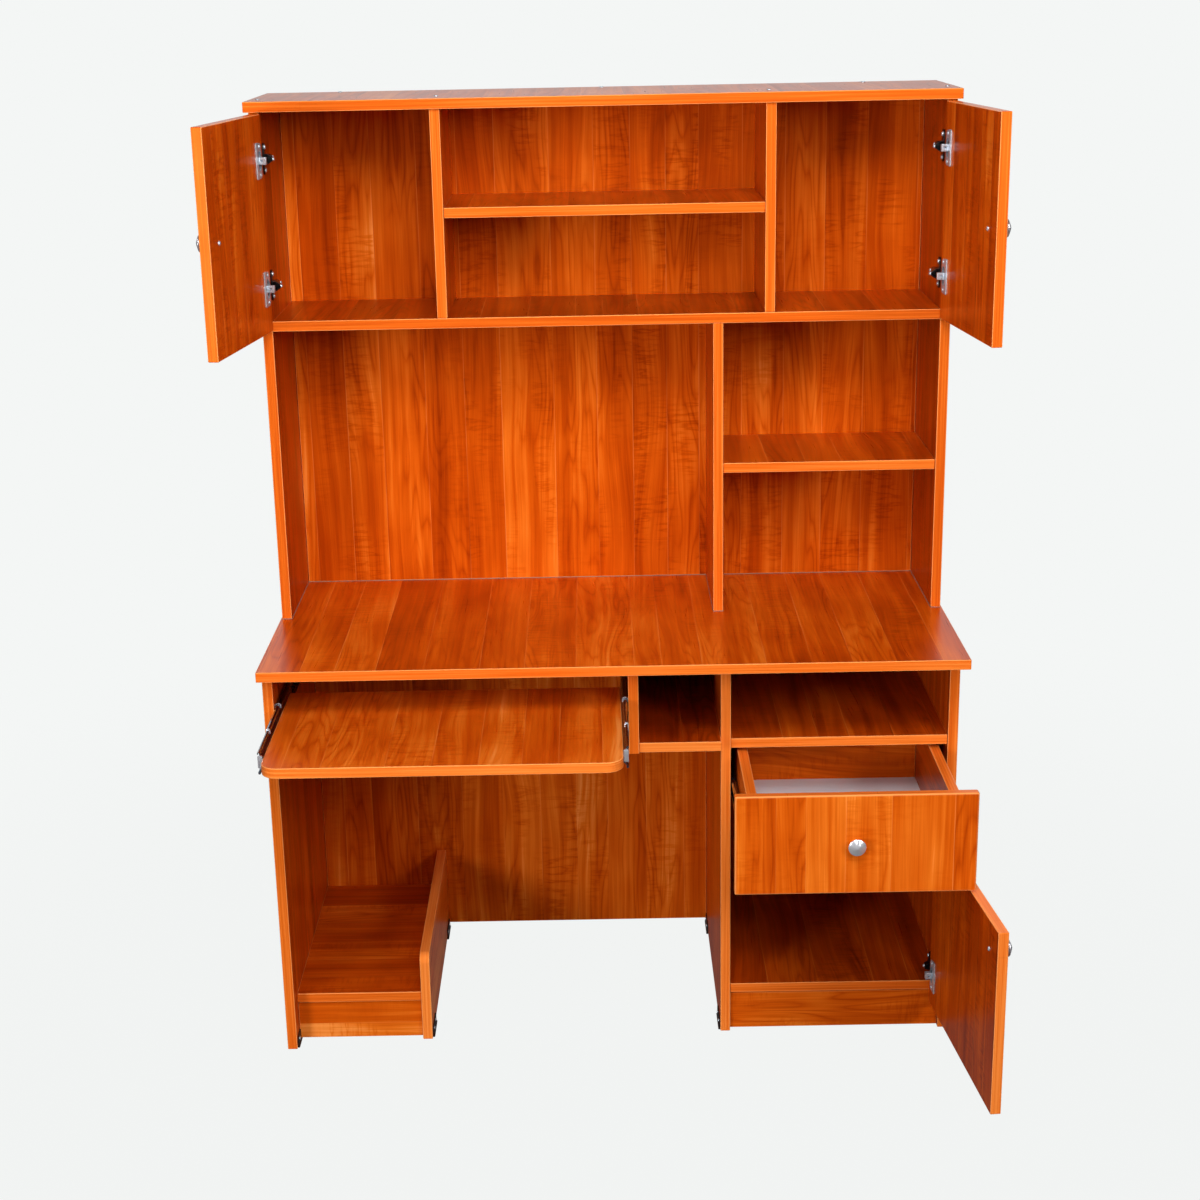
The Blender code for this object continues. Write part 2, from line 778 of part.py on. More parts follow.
def pulled(name, distance):
    # An empty that carries what slides, moved forward by the distance.
    empty = bpy.data.objects.new(name, None)
    parts.objects.link(empty)
    empty.location = (0.0, -distance, 0.0)
    return empty


# Drawer, drawn in its shut place and carried forward by its empty
drawer_slide = pulled("drawer_slide", DRAWER_PULL)
side_left = inner_panel_right + SLIDE_WIDTH
side_right = end_inner - SLIDE_WIDTH
side_top = pedestal_shelf_under - DRAWER_TOP_CLEAR
side_low = side_top - DRAWER_SIDE_HEIGHT
drawer_rear = front_inner - DRAWER_LENGTH
base_low = side_low + DRAWER_BASE_RISE
face_left = inner_panel_right - FRONT_COVER
face_right = end_inner + FRONT_COVER
face = block(
    (face_left, face_right),
    (at_depth(front_inner + BOARD), at_depth(front_inner)),
    (drawer_front_low, drawer_front_top),
)
keep(soften(face, FRONT_ROUND, 3), "drawer_front", LAMINATE, drawer_slide)
box_depth = (drawer_rear, front_inner - JOIN)
box_z = (side_low, side_top)
panel("drawer_left_side", (side_left, side_left + BOARD), box_depth, box_z, drawer_slide)
panel("drawer_right_side", (side_right - BOARD, side_right), box_depth, box_z, drawer_slide)
inside_x = (side_left + BOARD + JOIN, side_right - BOARD - JOIN)
panel("drawer_back", inside_x, (drawer_rear, drawer_rear + BOARD), box_z, drawer_slide)
base = block(
    inside_x,
    (at_depth(front_inner - JOIN), at_depth(drawer_rear + BOARD + JOIN)),
    (base_low, base_low + DRAWER_BASE),
)
keep(base, "drawer_base", DRAWER_LINING, drawer_slide)
knob(
    "drawer_knob",
    drawer_slide,
    (
        (face_left + face_right) / 2,
        at_depth(front_inner + BOARD + JOIN),
        (drawer_front_low + drawer_front_top) / 2,
    ),
)
slide_front = pedestal_front - DRAWER_SLIDE_SETBACK
slide_depth = (slide_front - DRAWER_SLIDE_LENGTH, slide_front)
slide_z = side_low + DRAWER_SLIDE_RISE
for away, word, wall in ((1, "left", inner_panel_right), (-1, "right", end_inner)):
    slide_member(
        "drawer_" + word + "_slide_rail",
        rail_line(DRAWER_SLIDE_HEIGHT, 0),
        away,
        wall,
        slide_z,
        slide_depth,
        ZINC,
        None,
    )
    slide_member(
        "drawer_" + word + "_slide_carrier",
        carrier_line(DRAWER_SLIDE_HEIGHT, 1),
        away,
        wall,
        slide_z,
        slide_depth,
        ZINC,
        drawer_slide,
    )

# Keyboard tray, in its shut place under the top, on telescopic slides
tray_slide = pulled("tray_slide", TRAY_PULL)
tray_slide_middle = pulled("tray_slide_middle", TRAY_PULL / 2)
tray_top = top_under - TRAY_DROP
tray_front = DESK_DEPTH - TRAY_SETBACK
tray = block(
    (-end_inner + SLIDE_WIDTH, hanger_left - SLIDE_WIDTH),
    (at_depth(tray_front), at_depth(tray_front - TRAY_DEPTH)),
    (tray_top - BOARD, tray_top),
)
round_corners(tray, TRAY_CORNER, lambda a, b: max(a.y, b.y) < 0 and abs(a.z - b.z) > BOARD / 2)
keep(soften(tray, EDGE_ROUND), "keyboard_tray", LAMINATE, tray_slide)
rail_front = hanger_front - TRAY_SLIDE_SETBACK
rail_depth = (rail_front - TRAY_SLIDE_LENGTH, rail_front)
carrier_front = tray_front - CARRIER_SETBACK
carrier_depth = (carrier_front - TRAY_SLIDE_LENGTH, carrier_front)
tray_middle = tray_top - BOARD / 2
for away, word, wall in ((1, "left", -end_inner), (-1, "right", hanger_left)):
    stem = "tray_" + word + "_slide_"
    slide_member(
        stem + "rail",
        rail_line(TRAY_SLIDE_HEIGHT, 0),
        away,
        wall,
        tray_middle,
        rail_depth,
        DARK_STEEL,
        None,
    )
    slide_member(
        stem + "middle",
        rail_line(TRAY_SLIDE_HEIGHT, 1),
        away,
        wall,
        tray_middle,
        rail_depth,
        DARK_STEEL,
        tray_slide_middle,
    )
    slide_member(
        stem + "carrier",
        carrier_line(TRAY_SLIDE_HEIGHT, 2),
        away,
        wall,
        tray_middle,
        carrier_depth,
        DARK_STEEL,
        tray_slide,
    )

bpy.context.view_layer.update()
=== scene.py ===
# Study desk with a hutch: finishes, fittings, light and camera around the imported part
import functools
import json
import math

import bmesh
import bpy
from mathutils import Matrix, Vector


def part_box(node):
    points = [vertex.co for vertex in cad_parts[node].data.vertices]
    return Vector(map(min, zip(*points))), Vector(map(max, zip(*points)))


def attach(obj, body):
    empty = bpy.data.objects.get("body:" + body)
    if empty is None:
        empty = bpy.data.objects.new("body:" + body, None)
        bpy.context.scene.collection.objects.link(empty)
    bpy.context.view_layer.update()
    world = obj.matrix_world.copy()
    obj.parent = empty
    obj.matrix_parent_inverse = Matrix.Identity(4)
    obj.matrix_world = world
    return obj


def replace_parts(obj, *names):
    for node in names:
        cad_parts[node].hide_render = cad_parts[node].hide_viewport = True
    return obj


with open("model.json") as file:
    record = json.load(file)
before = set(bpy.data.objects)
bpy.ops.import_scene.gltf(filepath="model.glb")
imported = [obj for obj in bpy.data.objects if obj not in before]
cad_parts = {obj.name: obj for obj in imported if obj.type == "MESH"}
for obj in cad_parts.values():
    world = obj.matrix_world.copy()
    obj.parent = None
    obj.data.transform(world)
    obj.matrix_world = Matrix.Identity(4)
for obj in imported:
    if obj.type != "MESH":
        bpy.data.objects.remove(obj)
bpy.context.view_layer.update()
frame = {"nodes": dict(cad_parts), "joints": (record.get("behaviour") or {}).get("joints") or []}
nodes = frame["nodes"]
joints = {joint["name"]: joint for joint in frame["joints"]}
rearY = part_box("desk_top")[1].y          # the wall side of the desk
print("frame loaded:", len(nodes), "nodes")


def mm(value):
    return value / 1000.0


def fromRear(xMm, depthMm, zMm):
    return Vector((mm(xMm), rearY - mm(depthMm), mm(zMm)))


def hexColour(code):
    # sRGB hex to linear
    channels = [int(code[i:i + 2], 16) / 255.0 for i in (0, 2, 4)]
    return tuple(c / 12.92 if c <= 0.04045 else ((c + 0.055) / 1.055) ** 2.4 for c in channels) + (1.0,)


def scaleFor(sizeMm, depth=1.0):
    # pattern scale from the real size of a mark, first across the grain and then along it
    return (1000.0 / sizeMm[0], 1000.0 / sizeMm[1], depth)


def addNode(tree, kind, *values, out=0, stops=(), **settings):
    # values go to the inputs in order, or by name from a dictionary: sockets are linked, the rest is set
    node = tree.nodes.new("ShaderNode" + kind)
    for key, value in settings.items():
        setattr(node, key, value)
    for i, (place, code) in enumerate(stops):
        stop = node.color_ramp.elements[i] if i < 2 else node.color_ramp.elements.new(place)
        stop.position, stop.color = place, hexColour(code)
    named = values[0] if values and isinstance(values[0], dict) else dict(enumerate(values))
    for key, value in named.items():
        if isinstance(value, bpy.types.NodeSocket):
            tree.links.new(value, node.inputs[key])
        else:
            node.inputs[key].default_value = value
    return node.outputs[out] if len(node.outputs) else node


def newFinish(name):
    # an empty material, and addNode bound to its tree
    finish = bpy.data.materials.new(name)
    finish.use_nodes = True
    finish.node_tree.nodes.clear()
    return finish, functools.partial(addNode, finish.node_tree)


# melamine-faced chipboard, printed cherry
laminateSet = {
    "seedStep": 1.37, "seedAcross": 0.217, "seedAlong": 0.731,  # each board has another stretch of the print
    "plankMm": 78, "plankOdd": 0.9,             # mean printed plank width, and how odd the widths are
    "plankTone": 0.15, "plankApart": 40.0,      # planks differ in tone and in figure
    "jointMm": 1.5, "jointSoft": (1.6, 0.4),    # light line between two planks, with soft sides
    "jointBreak": (0.40, 0.62), "jointShow": (0.05, 0.42),          # it comes and goes along its length
    "leanMm": (150, 520),     # size of the leaning parts of the figure
    "swayMm": 46, "swayLeast": 0.35, "swayMore": 1.5,               # how far it leans, by the plank
    "layers": {               # size across and along in mm, detail, weight
        "pores": ((2.4, 120), 2.0, 0.24),       # real pores are 0.3 mm, drawn coarser so they show
        "streaks": ((9, 430), 3.0, 0.54),
        "bands": ((34, 1500), 1.0, 0.58),
        "clouds": ((95, 240), 2.0, 0.55),
    },
    "figures": {              # dark contour lines of a slow noise, which show in patches
        "rings": {            # growth rings, long loops along the grain
            "sizeMm": (58, 520), "count": 13, "show": -0.20,
            "patchMm": (110, 480), "patch": (0.44, 0.60), "somePlanks": False},
        "flames": {           # flame figure, short marks across the grain, more in some planks than in others
            "sizeMm": (52, 10), "count": 2.6, "show": -0.22,
            "patchMm": (60, 150), "patch": (0.47, 0.62), "somePlanks": True},
    },
    "lineSharp": 3.0, "lineMean": 0.3,          # thin lines, evened out so that they leave the tone alone
    "patchDepth": 3.7,                          # keeps the patches from following the lean
    "leanDetail": 1.0, "layerRough": 0.55, "figureDetail": 2.0, "figureRough": 0.45,
    "patchDetail": 1.0, "bandDetail": 2.0,      # how fine each noise is
    "edgeFacing": (0.75, 0.35),                 # the band takes over where the surface turns away
    "cornerFacing": (0.995, 0.9), "cornerEnd": (0.1, 0.4), "cornerShow": 0.85,  # painted highlight on the band's rounded corner
    "bandLineMm": (2.4, 260),                   # lines in the edge band, drawn coarser so they show
    "roughness": 0.30, "roughSpread": 0.12,
    "ior": 1.5,
    "poreBump": 0.25, "poreDeepMm": 0.12,
    "skinTint": "FF9A40",     # the print colours what the resin skin sends straight back
    "face": [(0.0, "6E1A00"), (0.25, "9A3202"), (0.46, "BC4604"),
             (0.64, "D45B0B"), (0.82, "E8751D"), (1.0, "FB9846")],
    "band": [(0.25, "D25612"), (0.5, "E66C1C"), (0.75, "F68434"), (1.0, "FF9A48")],
    # colour of the painted highlight on the band's rounded corner
    "joint": "FFA050",
    "roundHighlight": "FFAA64",
}


def cherryMelamine(name, grain, through, seed, turnDeg, faceLight, bandLight):
    # printed paper under a clear resin skin: satin, planked, flamed in patches, with a plain bright edge band
    s = laminateSet
    finish, add = newFinish("cherryMelamine_" + name)
    place = add("TexCoord", out="Object")
    turn = (0.0, 0.0, math.radians(turnDeg))
    at = add("SeparateXYZ", add("Mapping", {"Vector": place, "Rotation": turn})).node.outputs
    facing = add("Mapping", {"Vector": place.node.outputs["Normal"], "Rotation": turn}, vector_type="VECTOR")
    facing = add("SeparateXYZ", facing).node.outputs
    grainAxis, throughAxis = "xyz".index(grain), "xyz".index(through)
    acrossAxis = 3 - grainAxis - throughAxis
    along = add("Math", at[grainAxis], seed * s["seedAlong"], operation="ADD")
    side = add("Math", at[acrossAxis], seed * s["seedAcross"], operation="ADD")

    # planks of odd widths, each with three numbers of its own
    plankCount = add("Math", side, 1000.0 / s["plankMm"], operation="MULTIPLY")
    plankAt = {"W": plankCount, "Scale": 1.0, "Randomness": s["plankOdd"]}
    chance = add("TexVoronoi", plankAt, voronoi_dimensions="1D", out="Color")
    chance = add("SeparateColor", chance).node.outputs
    toJoint = add("TexVoronoi", plankAt, voronoi_dimensions="1D", feature="DISTANCE_TO_EDGE", out="Distance")
    other = add("Math", chance[0], s["plankApart"], seed, operation="MULTIPLY_ADD")

    # the figure leans to one side and back, more in some planks than in others
    leanAt = add("CombineXYZ", side, along, other)
    lean = add("VectorMath", leanAt, scaleFor(s["leanMm"]), operation="MULTIPLY")
    lean = add("TexNoise", {"Vector": lean, "Scale": 1.0, "Detail": s["leanDetail"]})
    lean = add("Math", lean, 0.5, operation="SUBTRACT")
    sway = mm(s["swayMm"])
    reach = add("Math", chance[1], sway * s["swayMore"], sway * s["swayLeast"], operation="MULTIPLY_ADD")
    swayed = add("Math", lean, reach, side, operation="MULTIPLY_ADD")
    figureAt = add("CombineXYZ", swayed, along, other)

    # faceLight is the board's painted light and shade, laid over the whole print
    shade = add("Math", chance[2], s["plankTone"], 0.5 + faceLight - s["plankTone"] / 2, operation="MULTIPLY_ADD")
    fields = {}
    for layer, (sizeMm, detail, weight) in s["layers"].items():
        spot = add("VectorMath", figureAt, scaleFor(sizeMm), operation="MULTIPLY")
        fields[layer] = add("TexNoise", {
            "Vector": spot, "Scale": 1.0, "Detail": detail, "Roughness": s["layerRough"]})
        shade = add("Math", fields[layer], weight, shade, operation="MULTIPLY_ADD")
        shade = add("Math", shade, weight / 2, operation="SUBTRACT")

    for figure in s["figures"].values():
        spot = add("VectorMath", figureAt, scaleFor(figure["sizeMm"]), operation="MULTIPLY")
        slow = add("TexNoise", {
            "Vector": spot, "Scale": 1.0, "Detail": s["figureDetail"], "Roughness": s["figureRough"]})
        phase = add("Math", slow, figure["count"], operation="MULTIPLY")
        line = add("Math", add("Math", phase, 0.5, operation="PINGPONG"), 2.0, operation="MULTIPLY")
        line = add("Math", line, s["lineSharp"], operation="POWER")
        line = add("Math", line, s["lineMean"], operation="SUBTRACT")
        spot = add("VectorMath", leanAt, scaleFor(figure["patchMm"], s["patchDepth"]), operation="MULTIPLY")
        patch = add("TexNoise", {"Vector": spot, "Scale": 1.0, "Detail": s["patchDetail"]})
        here = add("MapRange", patch, *figure["patch"], 0.0, figure["show"])
        if figure["somePlanks"]:
            here = add("Math", here, chance[1], operation="MULTIPLY")
        shade = add("Math", line, here, shade, operation="MULTIPLY_ADD")
    printed = add("ValToRGB", shade, stops=s["face"])

    # light joint lines, broken along their length
    halfJoint = s["jointMm"] / s["plankMm"] / 2
    joint = add("MapRange", toJoint, *(halfJoint * share for share in s["jointSoft"]))
    shown = add("MapRange", fields["clouds"], *s["jointBreak"], *s["jointShow"])
    joint = add("Math", joint, shown, operation="MULTIPLY")
    printed = add("Mix", {0: joint, 6: printed, 7: hexColour(s["joint"])}, data_type="RGBA", out=2)

    # edge band: told from the broad faces by the board's own normal
    flat = add("Math", facing[throughAxis], operation="ABSOLUTE")
    edge = add("MapRange", flat, *s["edgeFacing"])
    lineAt = add("CombineXYZ", at[throughAxis], add("Math", along, side, operation="ADD"), seed)
    lineAt = add("VectorMath", lineAt, scaleFor(s["bandLineMm"]), operation="MULTIPLY")
    bandShade = add("TexNoise", {"Vector": lineAt, "Scale": 1.0, "Detail": s["bandDetail"]})
    # bandLight is the board's painted light and shade on its edge band
    band = add("ValToRGB", add("Math", bandShade, bandLight, operation="ADD"), stops=s["band"])
    colour = add("Mix", {0: edge, 6: printed, 7: band}, data_type="RGBA", out=2)
    # painted highlight: the turned-over corner between face and band is drawn pale, where it would catch the
    # light
    cornerEnd = add("MapRange", flat, *s["cornerEnd"], 0.0, s["cornerShow"])
    corner = add("Math", add("MapRange", flat, *s["cornerFacing"]), cornerEnd, operation="MULTIPLY")
    colour = add("Mix", {0: corner, 6: colour, 7: hexColour(s["roundHighlight"])}, data_type="RGBA", out=2)

    press = add("Bump", {
        "Strength": s["poreBump"], "Distance": mm(s["poreDeepMm"]), "Height": fields["pores"]})
    least = s["roughness"] - s["roughSpread"] / 2
    dull = add("Math", fields["pores"], s["roughSpread"], least, operation="MULTIPLY_ADD")
    add("OutputMaterial", add("BsdfPrincipled", {
        "Base Color": colour, "Normal": press, "Roughness": dull,
        "IOR": s["ior"], "Specular Tint": hexColour(s["skinTint"])}))
    return finish


def clothe(node, finish):
    held = nodes[node].data.materials
    held.clear()
    held.append(finish)


# grain direction, thickness direction, degrees that undo an open door's swing,
# painted light and shade of the faces, then of the edge bands: above 0 paler, below 0 darker than the common
# print
boards = {
    "desk_top": ("y", "z", 0, 0.04, 0.06), "left_end_panel": ("z", "x", 0, 0.0, 0.0),
    "right_end_panel": ("z", "x", 0, -0.05, 0.0), "pedestal_inner_panel": ("z", "x", 0, 0.0, 0.18),
    "modesty_panel": ("z", "y", 0, 0.14, 0.0), "pedestal_back": ("z", "y", 0, -0.24, 0.0),
    "tray_hanger": ("z", "x", 0, -0.10, 0.0), "niche_shelf": ("y", "z", 0, -0.22, 0.26),
    "pedestal_shelf": ("y", "z", 0, -0.10, 0.14), "pedestal_floor": ("y", "z", 0, -0.04, 0.0),
    "pedestal_plinth": ("x", "y", 0, 0.10, 0.0), "bay_floor": ("x", "z", 0, 0.06, 0.0),
    "bay_plinth": ("x", "y", 0, 0.20, 0.0), "bay_guard": ("y", "x", 0, 0.36, 0.3),
    "hutch_left_side": ("z", "x", 0, -0.18, -0.14), "hutch_right_side": ("z", "x", 0, -0.20, -0.12),
    "hutch_left_divider": ("z", "x", 0, 0.0, 0.0), "hutch_right_divider": ("z", "x", 0, 0.0, 0.0),
    "hutch_top": ("y", "z", 0, 0.08, -0.08), "hutch_back": ("z", "y", 0, 0.05, 0.0),
    "hutch_long_shelf": ("y", "z", 0, -0.20, -0.14), "hutch_middle_shelf": ("y", "z", 0, -0.10, 0.0),
    "hutch_lower_divider": ("z", "x", 0, 0.0, 0.0), "hutch_side_shelf": ("y", "z", 0, -0.02, 0.0),
    "hutch_left_door": ("z", "y", 98, 0.02, -0.2), "hutch_right_door": ("z", "y", -96, 0.0, -0.08),
    "pedestal_door": ("z", "y", -95.5, -0.08, 0.22), "drawer_front": ("z", "y", 0, 0.15, 0.08),
    "drawer_left_side": ("y", "x", 0, 0.08, 0.0), "drawer_right_side": ("y", "x", 0, -0.10, 0.0),
    "drawer_back": ("x", "y", 0, 0.0, 0.0), "keyboard_tray": ("y", "z", 0, 0.16, 0.18),
}
lightingPrintShift = {"hutch_back": 6.9}       # a stretch of the print whose pale planks fall behind the right-hand niches, much as on the real one: painted light that brightens them
for count, (node, (grain, through, turnDeg, faceLight, bandLight)) in enumerate(boards.items()):
    seed = 1.0 + count * laminateSet["seedStep"] + lightingPrintShift.get(node, 0.0)
    clothe(node, cherryMelamine(node, grain, through, seed, turnDeg, faceLight, bandLight))
print("boards faced:", len(boards))


# how fine the specks of a polish are, and what they do to gloss, colour and relief
polishSet = {"detail": 3.0, "rough": 0.6, "field": (0.3, 0.7), "darkShare": 0.84, "deepMm": 0.05}


def fittingFinish(name, colour, roughness, metallic, speckMm,
                  stretch=(1, 1, 1), speck=0.06, bump=0.05, **sockets):
    # uneven polish over one colour, in specks coarser than the real ones so that they show;
    # stretch draws them out along an axis
    s = polishSet
    finish, add = newFinish(name)
    spread = add("Mapping", {"Vector": add("TexCoord", out="Object"), "Scale": stretch})
    specks = add("TexNoise", {
        "Vector": spread, "Scale": 1000.0 / speckMm, "Detail": s["detail"], "Roughness": s["rough"]})
    dull = add("MapRange", specks, *s["field"], roughness - speck, roughness + speck)
    dark = [c * s["darkShare"] for c in hexColour(colour)[:3]] + [1.0]
    tint = add("Mix", {0: specks, 6: dark, 7: hexColour(colour)}, data_type="RGBA", out=2)
    press = add("Bump", {"Strength": bump, "Distance": mm(s["deepMm"]), "Height": specks})
    if "Anisotropic" in sockets:                            # turning lines run round the piece's own axis
        sockets["Tangent"] = add("Tangent", direction_type="RADIAL", axis="Z")
    add("OutputMaterial", add("BsdfPrincipled", {
        "Base Color": tint, "Roughness": dull, "Normal": press, "Metallic": metallic, **sockets}))
    return finish


# nickel-plated pressed steel: bluish silver, soft streaks from the press
nickelSteel = fittingFinish("nickelPlatedSteel", "D2DDEA", 0.30, 0.62, 1.6, (1, 1, 0.2))
# the same steel painted near black, as painted shade and dark reflection on the hinge arms and plates, with
# sharp cold edges
shadeDarkSteel = fittingFinish("steelDarkenedForShade", "16161A", 0.33, 0.35, 1.4, (1, 0.3, 1))
# rolled slide steel, drawn dark: it picks up the wood beside it
railSteel = fittingFinish("darkRailSteel", "3A3A3E", 0.30, 1.0, 2.0, (1, 0.04, 1))
# zinc-plated runners: pale blue-grey, drawn out along the slide
runnerSteel = fittingFinish("zincPlatedRunnerSteel", "A9B2BE", 0.22, 1.0, 2.0, (1, 0.04, 1))
# turned and chromed brass: pale silver, wedges of light from the middle of each knob
chrome = fittingFinish("chromedBrass", "F0F4FF", 0.175, 0.70, 3.0, speck=0.03, Anisotropic=0.45)
# white paper-faced hardboard: matt, a cool grey where the drawer shades it; its blue tint is painted light,
# against the orange light that the drawer's sides throw on it
lining = fittingFinish("whiteFacedHardboard", "E9F3FF", 0.5, 0.0, 1.2, speck=0.05, bump=0.1)
# moulded nylon: black, dull gloss
nylon = fittingFinish("blackNylon", "121214", 0.42, 0.0, 0.8, bump=0.12)
# acrylic sealant run along the joints: matt warm grey, thin
sealant = fittingFinish("acrylicSealant", "8C7468", 0.6, 0.0, 1.5, bump=0.1)

for node in nodes:
    if "hinge" in node:
        clothe(node, nickelSteel)
    elif "slide_rail" in node:
        clothe(node, railSteel)
    elif "slide" in node:
        clothe(node, runnerSteel)
    elif "knob" in node:
        clothe(node, chrome)
    elif node == "drawer_base":
        clothe(node, lining)
print("fittings finished")


# edges that are rounded over, and edges that stay sharp in the shading
edgeSet = {"softenOverDeg": 40, "softenSteps": 2, "creaseDeg": 38}


def newPiece(name, form, finish, body, softenMm=0.0, at=None):
    # softenMm rounds the sharp edges over, at places a form that was built about its own axis
    s = edgeSet
    bmesh.ops.recalc_face_normals(form, faces=form.faces)
    if softenMm:
        least = math.radians(s["softenOverDeg"])
        sharp = [e for e in form.edges if len(e.link_faces) == 2 and e.calc_face_angle() > least]
        bmesh.ops.bevel(form, geom=sharp, offset=mm(softenMm), segments=s["softenSteps"], profile=0.5,
                        affect="EDGES", clamp_overlap=True)
    for face in form.faces:
        face.smooth = True
    for edge in form.edges:
        edge.smooth = len(edge.link_faces) == 2 and edge.calc_face_angle() < math.radians(s["creaseDeg"])
    mesh = bpy.data.meshes.new(name)
    form.to_mesh(mesh)
    form.free()
    mesh.materials.append(finish)
    piece = bpy.data.objects.new(name, mesh)
    bpy.context.scene.collection.objects.link(piece)
    if at:
        piece.matrix_world = at
    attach(piece, body)
    return piece


def standing(place, outward, spinDeg=0.0):
    # a frame at place whose z points outward
    turned = outward.to_track_quat("Z", "Y").to_matrix().to_4x4()
    return Matrix.Translation(place) @ turned @ Matrix.Rotation(math.radians(spinDeg), 4, "Z")


def skinBetween(form, loops):
    # faces between each row of corners and the next
    for one, two in zip(loops, loops[1:]):
        for k in range(len(one)):
            form.faces.new((one[k - 1], one[k], two[k], two[k - 1]))


def closeEnds(form, loops):
    form.faces.new(loops[0])
    form.faces.new(list(reversed(loops[-1])))


def skinOver(form, outlines):
    # closed skin over a row of outlines with the same number of points
    loops = [[form.verts.new(point) for point in outline] for outline in outlines]
    skinBetween(form, loops)
    closeEnds(form, loops)


def ringAt(at, radiusMm, heightMm, steps, count):
    # the first count of steps places round the axis
    angles = [math.tau * k / steps for k in range(count)]
    radius, height = mm(radiusMm), mm(heightMm)
    return [at @ Vector((radius * math.cos(a), radius * math.sin(a), height)) for a in angles]


def turnOnLathe(form, at, profileMm, steps):
    # profile of (radius, height) from the middle of the face to the middle of the back
    rings = []
    for radius, height in profileMm:
        count = steps if radius > 0 else 1
        rings.append([form.verts.new(p) for p in ringAt(at, radius, height, steps, count)])
    for one, two in zip(rings, rings[1:]):
        for k in range(steps):
            corners = (one[k % len(one)], one[(k + 1) % len(one)], two[(k + 1) % len(two)], two[k % len(two)])
            form.faces.new(list(dict.fromkeys(corners)))


screwSet = {
    "steps": 24, "slotLong": 0.52, "slotWide": 0.15, "slotDeep": 0.5,
    "head": ((1.0, 0.3), (0.9, 0.75), (0.72, 1.0)),         # shares of radius and rise
}


def addScrew(form, at, radiusMm, riseMm, sunkMm=0.3):
    # pan-head screw with a cross slot, standing on the face at z = 0
    s = screwSet
    count = s["steps"]
    profile = [(radiusMm, -sunkMm)] + [(radiusMm * wide, riseMm * high) for wide, high in s["head"]]
    rings = [[form.verts.new(p) for p in ringAt(at, *level, count, count)] for level in profile]
    form.faces.new(list(reversed(rings[0])))
    skinBetween(form, rings)
    long, wide = radiusMm * s["slotLong"], radiusMm * s["slotWide"]
    quarter = [(long, 0.0), (long, wide), (wide, wide), (wide, long)]
    cross = []
    for k in range(4):
        c, d = round(math.cos(math.pi / 2 * k)), round(math.sin(math.pi / 2 * k))
        cross += [(x * c - y * d, x * d + y * c) for x, y in quarter]
    lip, floor = ([form.verts.new(at @ Vector((mm(x), mm(y), mm(high)))) for x, y in cross]
                  for high in (riseMm, riseMm * (1 - s["slotDeep"])))
    for k in range(len(cross)):
        form.faces.new((lip[k], lip[k - 1], floor[k - 1], floor[k]))
    form.faces.new(floor)
    step, points = count // 4, len(quarter)
    for k in range(4):
        outer = [rings[-1][(k * step + j) % count] for j in range(step + 1)]
        inner = [lip[(k * points + j) % len(lip)] for j in range(points + 1)]
        form.faces.new(outer + list(reversed(inner)))


def rounded(wideMm, tallMm, radiusMm, steps=5):
    # outline of a rounded rectangle about the origin, in metres
    points = []
    for k, (sx, sy) in enumerate(((1, 1), (-1, 1), (-1, -1), (1, -1))):
        for j in range(steps + 1):
            a = math.pi / 2 * (k + j / steps)
            points.append((mm(sx * (wideMm / 2 - radiusMm) + radiusMm * math.cos(a)),
                           mm(sy * (tallMm / 2 - radiusMm) + radiusMm * math.sin(a))))
    return points


# turned knob: foot, waist, rolled rim and a low cone for a face, which shows light in wedges
knobSet = {
    "radiusMm": 15.0, "longMm": 20.5, "coneMm": 6.0, "coneBow": 1.15, "rimMm": 2.6,
    "neckMm": 6.0, "waistQuick": 1.35,          # above 1 the waist narrows before it reaches the foot
    "footMm": 8.5, "footHighMm": 2.0, "footRoundMm": 0.6, "footSlopeMm": 0.4,
    "steps": 72, "coneTurns": 12, "rimTurns": 7, "waistTurns": 15,
}


def turnKnob(node, at, body):
    s = knobSet
    half = s["rimMm"] / 2
    rimMid = s["radiusMm"] - half
    shoulder = s["longMm"] - s["coneMm"]
    slope = math.atan2(rimMid, s["coneBow"] * s["coneMm"])      # where the cone runs into the rim
    reach = rimMid + half * math.cos(slope)
    rimHigh = shoulder - half * math.sin(slope)
    shares = [k / s["coneTurns"] for k in range(s["coneTurns"] + 1)]
    profile = [(reach * share, shoulder + s["coneMm"] * (1 - share ** s["coneBow"])) for share in shares]
    for k in range(1, s["rimTurns"] + 1):
        a = slope - (slope + math.pi / 2) * k / s["rimTurns"]
        profile.append((rimMid + half * math.cos(a), rimHigh + half * math.sin(a)))
    under = rimHigh - half
    neck, foot, footHigh, footRound = s["neckMm"], s["footMm"], s["footHighMm"], s["footRoundMm"]
    for k in range(1, s["waistTurns"]):
        share = k / s["waistTurns"]
        wave = (1 + math.cos(math.pi * min(1.0, share * s["waistQuick"]))) / 2
        profile.append((neck + (rimMid - neck) * wave, under - (under - footHigh) * share))
    profile += [(neck + footRound, footHigh + s["footSlopeMm"]), (foot - footRound, footHigh),
                (foot, footHigh - footRound), (foot, 0.0), (0.0, 0.0)]
    form = bmesh.new()
    turnOnLathe(form, Matrix.Identity(4), profile, s["steps"])
    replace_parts(newPiece(node + "_turned", form, chrome, body, at=at), node)


